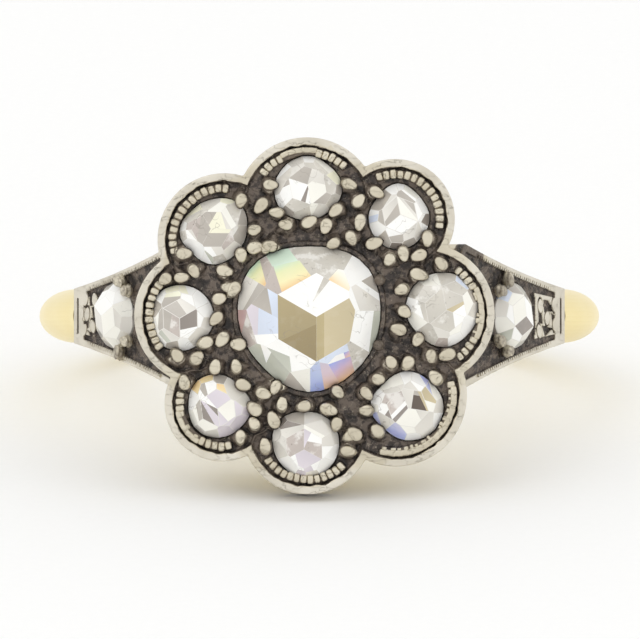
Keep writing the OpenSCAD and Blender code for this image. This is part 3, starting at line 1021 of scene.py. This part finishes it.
# Each stone: the turn of its facets in degrees and the letters of its tones
GEMS = {
    "centre_stone": (90, "WBT RFCSCS FRLMKCZUWGQF"),
    "petal_stone_1": (40, "FFF FCFFWP SFFFWCFAWWPG"),
    "petal_stone_2": (40, "PGW WPGPWP CWPGPWWCPGPW"),
    "petal_stone_3": (100, "GWP PFPFFG CGPWWFFFGYPP"),
    "petal_stone_4": (60, "PGY GFWPYG YGWWPPGFPWGP"),
    "petal_stone_5": (90, "GAD YWWWWW CYGWWGWWPPWW"),
    "petal_stone_6": (95, "PDL LOWAPL OOWCPPCLLPPC"),
    "petal_stone_7": (30, "PLG WWPPWW PPGPPWWPPPWP"),
    "petal_stone_8": (50, "NAC PGGACL VPGWCAVPCWPV"),
    "shoulder_stone_left": (30, "CPW CPCPWW PCPCPCCPWWCP"),
    "shoulder_stone_right": (90, "DWC PWWPCC PGPWWCCSPCPC")}
print("tones:", len(TONES), "stones:", len(GEMS))

# %% [markdown]
# ## Shards
#
# A facet of an old stone seldom shows one tone. It mirrors the far side of the stone, whose
# facets split it into shards with straight borders. Here a facet is bisected along a line
# and each part gets its own letter, a painted reflection. A row gives a place on the cut in
# millimetres from the middle of the stone, to the right and up as the stone is looked at, the
# slope of the cut in degrees, and the letters above and below it. A row without a slope only
# changes a letter.
#
# %% The shards of each stone

SHARDS = {
    "centre_stone": [
        (-0.15, 1.67, -53, "FR"), (-1.12, 1.35, -72, "RA"), (-0.52, 2.08, -53, "FI"),
        (-1.62, 1.6, -75, "AR"), (0.85, 1.5, 48, "FQ"), (1.75, 1.5, None, "W"),
        (0.7, 2.05, None, "F"), (0.3, 0.95, 66, "WW"), (0.5, 1.01, 52, "FW"),
        (-0.4, -0.55, 25, "BJ"), (0.5, -0.45, 90, "HT"), (1.78, 0.98, -35, "WP"),
        (1.93, 1.12, -35, "GW"), (1.58, 0.6, -70, "PW"), (2.15, -0.3, 83, "WK"),
        (0.75, -1.37, None, "S"), (1.4, -1.35, -75, "FU"), (1.0, -1.3, 20, "SU"),
        (1.02, -1.5, 20, "WU"), (1.2, -1.35, -75, "UW"), (0.42, -2.0, -80, "XZ"),
        (-0.66, -1.6, -83, "WK"), (-1.05, -1.22, -22, "WK"), (-0.42, -2.2, -50, "CG"),
        (-1.38, -1.35, 65, "WK"), (-1.6, -1.25, -73, "WK"), (-1.55, 0.2, -28, "GS"),
        (-1.5, -0.6, 3, "SW"), (-1.77, -0.2, 88, "LS"), (-1.36, 0.45, -80, "SG"),
        (-2.0, 0.75, 60, "PG"), (-2.22, -0.1, 75, "MA")],
    "petal_stone_1": [
        (0.4, 0.18, 25, "FT"), (0.42, 0.03, 33, "TW"), (0.28, -0.35, -80, "WF"),
        (-0.84, 0.0, -75, "FW"), (0.72, 0.9, -48, "GS"), (0.9, 0.0, None, "P"),
        (0.45, -0.95, None, "W"), (0.4, -0.7, None, "C"), (-0.4, 0.95, None, "C")],
    "petal_stone_2": [
        (-0.25, 0.2, 55, "PG"), (0.25, 0.4, -50, "GP"), (0.42, 0.05, -50, "PC"),
        (-0.62, 0.1, None, "G"), (-0.85, 0.05, 10, "WS"), (-0.75, -0.35, None, "W"),
        (-0.45, -0.65, None, "G"), (-0.08, -0.98, None, "D"), (-0.05, -0.66, 10, "WG"),
        (0.4, -0.78, None, "G"), (0.4, -0.45, None, "P"), (0.75, -0.42, -60, "WP"),
        (0.85, 0.0, 60, "WD"), (0.7, 0.25, None, "W"), (0.3, 0.7, -40, "WG"),
        (-0.17, 0.95, None, "W")],
    "petal_stone_3": [
        (0.1, 0.42, 75, "GP"), (-0.35, 0.13, 30, "GW"), (-0.08, -0.2, 65, "WD"),
        (0.0, -0.25, 78, "DW"), (0.3, 0.1, -12, "PC"), (0.82, 0.25, -45, "YF"),
        (-0.8, -0.02, 20, "GW"), (-0.95, 0.1, None, "P"), (-0.75, 0.55, 40, "WP"),
        (0.0, 1.0, None, "W"), (0.5, 0.7, -45, "CP"), (0.35, -0.65, 60, "CP"),
        (-0.3, -0.65, None, "F"), (-0.75, -0.8, None, "G"), (0.0, -0.95, None, "F"),
        (-0.35, 0.8, None, "P")],
    "petal_stone_4": [
        (0.02, 0.35, 62, "GY"), (0.38, 0.3, -72, "PY"), (-0.45, 0.05, 80, "AG"),
        (0.1, -0.16, 0, "YG"), (-0.6, -0.6, None, "W"), (0.02, -0.72, -60, "PW"),
        (-0.2, -0.9, -60, "KW"), (0.6, -0.35, None, "A"), (0.8, -0.1, 60, "FG"),
        (0.6, 0.5, -60, "FC"), (0.3, 0.85, None, "C"), (-0.1, 0.85, None, "P"),
        (-0.62, 0.6, 25, "YP"), (-0.75, 0.2, None, "A"), (-0.78, -0.12, -50, "PW")],
    "petal_stone_5": [
        (0.12, 0.32, -52, "PG"), (0.2, -0.38, 12, "DW"), (-0.3, -0.15, 80, "GA"),
        (-0.35, 0.72, 5, "YG"), (0.2, 0.6, None, "W"), (0.62, 0.55, None, "W"),
        (0.88, 0.05, None, "W"), (0.22, 0.93, -60, "WY"), (-0.25, 1.02, None, "Y"),
        (-0.75, 0.65, None, "W"), (-0.76, -0.1, 85, "CG"), (-0.5, -0.6, -50, "PK"),
        (0.1, -0.85, None, "W"), (0.35, -0.55, None, "W"), (0.75, -0.45, None, "W"),
        (0.55, -0.78, None, "P")],
    "petal_stone_6": [
        (-0.22, 0.25, -47, "LW"), (-0.34, 0.14, -47, "WP"), (-0.3, -0.2, -60, "LD"),
        (0.2, -0.25, -50, "CL"), (0.4, 0.6, None, "P"), (0.75, 0.2, None, "P"),
        (0.65, -0.1, None, "L"), (0.6, -0.6, None, "L"), (0.15, -0.85, None, "L"),
        (-0.3, -0.75, None, "C"), (-0.7, -0.2, -80, "GC"), (-0.85, 0.6, None, "O"),
        (-0.38, 0.62, -70, "WG"), (-0.55, 0.55, -50, "GW"), (0.1, 0.95, None, "G"),
        (-0.9, 0.1, None, "W")],
    "petal_stone_7": [
        (0.1, 0.3, 65, "LW"), (0.3, 0.18, -12, "WA"), (-0.3, 0.1, None, "A"),
        (-0.27, -0.5, -75, "LW"), (0.75, 0.02, -5, "PW"), (0.85, -0.4, None, "W"),
        (0.25, -0.75, -65, "WL"), (0.6, -0.75, None, "W"), (-0.5, -0.7, None, "W"),
        (-0.8, -0.1, None, "P"), (-0.8, 0.75, None, "D"), (-0.5, 0.68, 15, "DP"),
        (0.3, 0.6, -30, "PC"), (-0.2, -1.0, None, "L")],
    "petal_stone_8": [
        (-0.2, 0.2, 47, "AW"), (-0.13, 0.08, 47, "WD"), (0.12, 0.25, 80, "PN"),
        (0.48, 0.2, -65, "TN"), (0.3, 0.43, -10, "GN"), (0.38, -0.33, -62, "PC"),
        (0.7, 0.22, -20, "TC"), (0.8, 0.6, -75, "CV"), (0.25, 0.7, -50, "WP"),
        (0.55, 0.88, -60, "VW"), (0.0, 1.0, None, "W"), (-0.4, 0.75, 20, "CP"),
        (-0.7, 0.3, None, "A"), (-0.75, -0.15, 60, "WD"), (-0.98, -0.4, -70, "PV"),
        (0.05, -0.82, None, "C"), (0.6, -0.5, None, "P"), (0.25, -1.05, None, "W")],
    "shoulder_stone_left": [
        (-0.8, -0.4, None, "P"), (-0.4, -0.8, None, "G"), (0.4, -0.7, None, "C"),
        (0.35, 0.1, 80, "CS"), (-0.7, 0.1, None, "C"), (-0.4, 0.6, None, "W"),
        (0.3, 0.7, None, "W")],
    "shoulder_stone_right": [
        (0.7, -0.26, None, "W"), (0.3, -0.85, None, "G"), (-0.4, -0.7, None, "P"),
        (-0.15, -0.3, None, "W"), (0.1, 0.3, None, "D"), (-0.54, 0.3, None, "W"),
        (0.7, 0.7, None, "K"), (0.08, 0.75, None, "W"), (-0.49, 0.87, None, "C")]}
print("shards:", sum(len(rows) for rows in SHARDS.values()))

# %% The axes of a stone

stone_middles = {name: points_of(frame["nodes"][name]).mean(0) for name in GEMS}


def stone_axes(name):
    """Axes of a stone, which lies in the head's ground or in a shoulder's face."""
    if name.startswith("shoulder"):
        return SHOULDER_FRAMES[name.rsplit("_", 1)[1]]
    if name.startswith("centre"):
        return RING
    middle = stone_middles[name]
    around = math.radians(round(math.degrees(math.atan2(middle[1], middle[0])) / 45) * 45)
    spin = Matrix.Rotation(around, 4, "Z")
    return RING @ spin @ Matrix.Rotation(SLOPE, 4, "Y") @ spin.inverted()


def lean_of(normal):
    """How far a facet leans from the way that the stone faces, in degrees."""
    return math.degrees(math.acos(max(-1, min(1, normal.z))))


print("middle of the centre stone, mm:", stone_middles["centre_stone"].round(2))

# %% The letter of a facet


def facet_letter(normal, turn, letters, flat, steep):
    """The tone of a facet, from the way that it faces in the stone's axes."""
    point, side, edge = letters.split()
    lean = lean_of(normal)
    way = (math.degrees(math.atan2(normal.y, normal.x)) - turn) % 360
    third = int((way / 120 + 0.5) % 3)
    if 1 < lean < flat:
        return point[third]
    if 1 < lean < steep:
        before = (way - third * 120 + 180) % 360 > 180
        return side[2 * third + (0 if before else 1)]
    return edge[int(((way - 15) / 30 + 0.5) % 12)]


print("letters of a stone:", len(GEMS["centre_stone"][1].replace(" ", "")))

# %% Open a stone and bevel its ridges for painted highlights


def open_gem(name):
    """The stone's welded copy, with one face for each facet, and the facets' directions."""
    gem = weld(twin(frame["nodes"][name], name + "_gem"))
    take(gem)
    bpy.ops.object.mode_set(mode="EDIT")
    bpy.ops.mesh.select_all(action="SELECT")
    bpy.ops.mesh.dissolve_limited(angle_limit=math.radians(1.5))
    bpy.ops.object.mode_set(mode="OBJECT")
    return gem, [face.normal.copy() for face in gem.data.polygons]


def bevel_ridges_for_highlights(gem, width):
    """A narrow face along every ridge, which gets a light tone as a painted highlight."""
    take(gem)
    bpy.ops.object.mode_set(mode="EDIT")
    bpy.ops.mesh.select_all(action="SELECT")
    bpy.ops.mesh.bevel(offset=width * MM, segments=1, affect="EDGES", clamp_overlap=True)
    bpy.ops.object.mode_set(mode="OBJECT")


print("ready to open", len(GEMS), "stones")

# %% [markdown]
# ## Cutting the shards
#
# The place in a row lies on one facet as the stone is looked at. That face alone is selected
# and bisected by an upright plane through the place. A step of 0.03 mm to either side of the
# cut then finds the two new faces, which get their letters.
#
# %% Bisect a facet and letter its parts


def facet_at(gem, back, x, y):
    """The number of the face that shows at a place, in millimetres in the stone's own axes."""
    rows = points_of(gem, back)
    for face in gem.data.polygons:
        ring = rows[list(face.vertices), :2]
        sides = np.roll(ring, -1, axis=0) - ring
        off = np.array([x, y]) - ring
        if (sides[:, 0] * off[:, 1] - sides[:, 1] * off[:, 0] > -1e-7).all():
            return face.index
    return None


def cut_facet(gem, back, x, y, slope):
    """Bisects the facet at a place along a straight line of a slope in degrees."""
    for parts in (gem.data.vertices, gem.data.edges, gem.data.polygons):
        parts.foreach_set("select", [False] * len(parts))
    gem.data.polygons[facet_at(gem, back, x, y)].select = True
    turn, out = math.radians(slope), back.inverted()
    across = (out.to_3x3() @ Vector((-math.sin(turn), math.cos(turn), 0))).normalized()
    bpy.ops.object.mode_set(mode="EDIT")
    bpy.ops.mesh.bisect(plane_co=out @ Vector((x, y, 0)), plane_no=across, threshold=1e-8)
    bpy.ops.object.mode_set(mode="OBJECT")


def break_up(gem, back, name):
    """Cuts the shards of a stone and writes their letters on its faces."""
    take(gem)
    bpy.context.tool_settings.mesh_select_mode = (False, False, True)
    for x, y, slope, tones in SHARDS[name]:
        if slope is None:
            places = [(x, y)]
        else:
            cut_facet(gem, back, x, y, slope)
            turn = math.radians(slope)
            side = 0.03 * Vector((-math.sin(turn), math.cos(turn)))
            places = [(x + side.x, y + side.y), (x - side.x, y - side.y)]
        parts = [facet_at(gem, back, *place) for place in places]
        if len(set(parts)) < len(places):
            print("a cut missed:", name, x, y)
        for part, letter in zip(parts, tones):
            gem.data.attributes["letter"].data[part].value = ord(letter)


print("most cuts in one stone:", max(sum(1 for row in rows if row[2] is not None)
                                     for rows in SHARDS.values()))

# %% Tone and fire of each corner


def corner_marks(gem, face, letter, back, luck):
    """Painted reflection tone and painted fire for each corner of a facet: the tone slides a little across
    the facet.
    """
    base, frost = paint(*TONES[letter])[:3], 1.0 if letter in FROSTED else 0.0
    places = [back @ gem.data.vertices[i].co for i in face.vertices]
    far = [place.xy.length for place in places]
    lowest, span = min(far), max(max(far) - min(far), 1e-9)
    middle = sum((place.xy for place in places), Vector((0, 0))) / len(places)
    reach = max((place.xy - middle).length for place in places) or 1
    spin = luck.uniform(0, 2 * math.pi)
    most = 0.03 if letter in "WCEQ" else 0.16
    slide = Vector((math.cos(spin), math.sin(spin))) * luck.uniform(0.03, most)
    tones, fires = [], []
    for place, out in zip(places, far):
        share = (out - lowest) / span
        level = 1 + (place.xy - middle).dot(slide) / reach
        tones += [min(1, part * level) for part in base] + [frost]
        inner, outer, start, end = FIRE.get(letter, (0, 0, 0, 0))
        fires += [inner + (outer - inner) * share, start + (end - start) * share, 0, 1]
    return tones, fires


print("tones with fire:", "".join(FIRE))

# %% Cut every stone


def drop_slivers(gem):
    """Dissolves the faces without any width, which a ridge's bevel or a cut can leave."""
    bpy.ops.object.mode_set(mode="EDIT")
    bpy.ops.mesh.select_all(action="SELECT")
    bpy.ops.mesh.dissolve_degenerate(threshold=1e-7)
    bpy.ops.object.mode_set(mode="OBJECT")


def cut_stone(name):
    """A stone with painted reflection tones on its facets and shards, and a painted highlight along each
    ridge.
    """
    gem, ways = open_gem(name)
    bevel_ridges_for_highlights(gem, 0.016 if name.startswith("centre") else 0.011)
    axes = stone_axes(name).to_3x3().normalized().inverted()
    middle = Matrix.Translation(RING @ Vector(stone_middles[name]))
    back = Matrix.Scale(1 / MM, 4) @ axes.to_4x4() @ middle.inverted()
    turn, letters = GEMS[name]
    leans = sorted(round(lean_of(axes @ way)) for way in ways)
    crown = [lean for lean in leans if 2 < lean < 80]
    limits = (crown[0] + 6, crown[-1] - 9)
    first = []
    for face in gem.data.polygons:
        if min(face.normal.angle(way, 0) for way in ways) < math.radians(0.6):
            first.append(ord(facet_letter(axes @ face.normal, turn, letters, *limits)))
        else:
            # A face from the bevel along a ridge gets E, a light tone that is a painted highlight
            first.append(ord("E"))
    gem.data.attributes.new("letter", "INT", "FACE").data.foreach_set("value", first)
    break_up(gem, back, name)
    luck = random.Random(name)
    tones, fires = [], []
    for face in gem.data.polygons:
        letter = chr(gem.data.attributes["letter"].data[face.index].value)
        marks = corner_marks(gem, face, letter, back, luck)
        tones += marks[0]
        fires += marks[1]
    gem.data.attributes.remove(gem.data.attributes["letter"])
    gem.data.attributes.new("tone", "FLOAT_COLOR", "CORNER").data.foreach_set("color", tones)
    gem.data.attributes.new("fire", "FLOAT_COLOR", "CORNER").data.foreach_set("color", fires)
    drop_slivers(gem)
    return gem, sorted(set(crown))


for name in GEMS:
    gem, crown = cut_stone(name)
    print(name, len(gem.data.polygons), "faces, leans", crown)

# %% [markdown]
# ## The stones' finish
#
# Beneath the facets an old stone is never clean: it has small feathers, specks and thin curved
# cracks that keep to a few patches, and frosted facets are full of them. Fire is a circle of
# pale colours that each fiery facet runs along, painted over the painted reflection tones.
#
# %% Old rose-cut stone


def rose_cut_stone():
    """A stone's surface from the painted reflection tone and painted fire of its corners, with feathers
    and specks.
    """
    stone = Finish("rose_cut_stone")
    # Tone and fire are painted light: the reflections, highlights and split colours that each facet shows
    tone = stone.node("Attribute", {"attribute_name": "tone"}, output="Color")
    frost = stone.node("Attribute", {"attribute_name": "tone"}, output="Alpha")
    fire = stone.node("Attribute", {"attribute_name": "fire"}, output="Color")
    strength = stone.node("SeparateColor", None, {0: fire}, 0)
    hue = stone.node("SeparateColor", None, {0: fire}, 1)
    spectrum = stone.node("ValToRGB", {"stops": [
        (0.0, paint(158, 170, 234)), (0.2, paint(196, 230, 208)), (0.4, paint(236, 240, 184)),
        (0.58, paint(253, 243, 188)), (0.76, paint(247, 200, 138)), (0.9, paint(222, 182, 196)),
        (1.0, paint(158, 170, 234))]}, {0: (hue + (stone.noise(1.6, 2) - 0.5) * 0.12 + 1).fraction()})
    colour = stone.mix(strength * 0.92, tone, spectrum)
    patches = stone.noise(0.7, 2).step(0.52, 0.62)
    cracks = stone.noise(1.5, 2, 0.5).near(0.5, 0.012) * patches
    specks = stone.noise(7, 6, 0.7).step(0.58, 0.68)
    cloud = stone.noise(1.7, 5, 0.6)
    colour = stone.mix(cracks * 0.5, colour, paint(142, 134, 122))
    colour = stone.mix(specks * (0.03 + patches * 0.18 + frost * 0.5), colour, paint(128, 120, 108))
    colour = stone.mix(cloud.step(0.52, 0.64) * (0.04 + frost * 0.6), colour, paint(250, 248, 242))
    relief = stone.bump(stone.noise(1.2, 3) + specks * frost * 0.6, 0.003)
    return stone.set(
        Base_Color=colour, Roughness=0.04 + frost * 0.14, Metallic=0.0, Normal=relief,
        IOR=1.6, Coat_Weight=0.4, Coat_Roughness=0.02)


stone_finish = rose_cut_stone()
for name in GEMS:
    gem = bpy.data.objects[name + "_gem"]
    gem.data.materials.append(stone_finish)
    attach(gem, "root")
    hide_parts(name)
print("stones finished:", len(GEMS))

# %% [markdown]
# ## Table and light
#
# A jeweller's photograph is taken on white, in light that comes softly from all sides. The
# table is a wide pale sheet that curves up behind the ring. Two broad lamps and a bright
# sky give the metal something to mirror.
#
# %% The pale table

TABLE_HALF = 0.6


def pale_table():
    """A square sheet whose far edge is drawn out and up."""
    bpy.ops.object.select_all(action="DESELECT")
    bpy.ops.mesh.primitive_plane_add(size=2 * TABLE_HALF, location=(0, 0, 0))
    table = bpy.context.object
    table.name = "table"
    bpy.ops.object.mode_set(mode="EDIT")
    bpy.ops.mesh.select_all(action="DESELECT")
    bpy.ops.mesh.select_mode(type="EDGE")
    bpy.ops.object.mode_set(mode="OBJECT")
    for edge in table.data.edges:
        ends = [table.data.vertices[i].co.y for i in edge.vertices]
        edge.select = min(ends) > 0.9 * TABLE_HALF
    bpy.ops.object.mode_set(mode="EDIT")
    bpy.ops.mesh.extrude_region_move(TRANSFORM_OT_translate={"value": (0, 0.12, 0.02)})
    bpy.ops.mesh.extrude_region_move(TRANSFORM_OT_translate={"value": (0, 0.08, 0.08)})
    bpy.ops.mesh.extrude_region_move(TRANSFORM_OT_translate={"value": (0, 0.02, 0.5)})
    bpy.ops.object.mode_set(mode="OBJECT")
    table.data.shade_smooth()
    paper = Finish("pale_paper")
    grain_of_paper = paper.noise(3, 5)
    colour = paper.mix(grain_of_paper, paint(250, 250, 249), paint(253, 253, 252))
    table.data.materials.append(paper.set(Base_Color=colour, Roughness=0.9))
    return table


table = pale_table()
print("table:", len(table.data.polygons), "faces")

# %% Soft light

LIT_PLACE = Vector((0, 0, 0.006))


def softbox(name, size, power, place):
    """A round lamp, its size in metres and its power in watts, turned to the ring."""
    light = bpy.data.lights.new(name, "AREA")
    light.shape, light.size, light.energy = "DISK", size, power
    lamp = bpy.data.objects.new(name, light)
    bpy.context.scene.collection.objects.link(lamp)
    lamp.location = place
    lamp.rotation_euler = (LIT_PLACE - Vector(place)).to_track_quat("-Z", "Y").to_euler()
    return lamp


softbox("key_light", 0.25, 0.18, (-0.25, -0.3, 0.4))
softbox("fill_light", 0.3, 0.08, (0.35, -0.25, 0.25))
world = bpy.data.worlds.new("white_room")
world.use_nodes = True
world.node_tree.nodes["Background"].inputs["Color"].default_value = (1, 1, 1, 1)
world.node_tree.nodes["Background"].inputs["Strength"].default_value = 0.98
bpy.context.scene.world = world
bpy.context.scene.view_settings.view_transform = "Standard"
print("lamps:", [light.name for light in bpy.data.lights])

# %% [markdown]
# ## Camera
#
# The photograph looks straight down on the head. The ring lies on its side, so the camera
# stands low in front of it and looks along the head's facing, a little above the table.
#
# %% The camera straight in front of the head

DISTANCE = 350.0
MM_PER_PIXEL = 0.03575
PICTURE = (640, 639)
MIDDLE = (319.3, 316.0)

camera = bpy.data.cameras.new("camera")
camera.sensor_width = 36
camera.lens = camera.sensor_width * DISTANCE / (PICTURE[0] * MM_PER_PIXEL)
camera.clip_start = 0.01
eye = bpy.data.objects.new("camera", camera)
bpy.context.scene.collection.objects.link(eye)
aim_x = (PICTURE[0] / 2 - MIDDLE[0]) * MM_PER_PIXEL
aim_y = (MIDDLE[1] - PICTURE[1] / 2) * MM_PER_PIXEL
eye.matrix_world = RING @ Matrix.Translation((aim_x, aim_y, DISTANCE)) @ Matrix.Scale(1 / MM, 4)
bpy.context.scene.camera = eye
print("camera lens", round(camera.lens, 1))
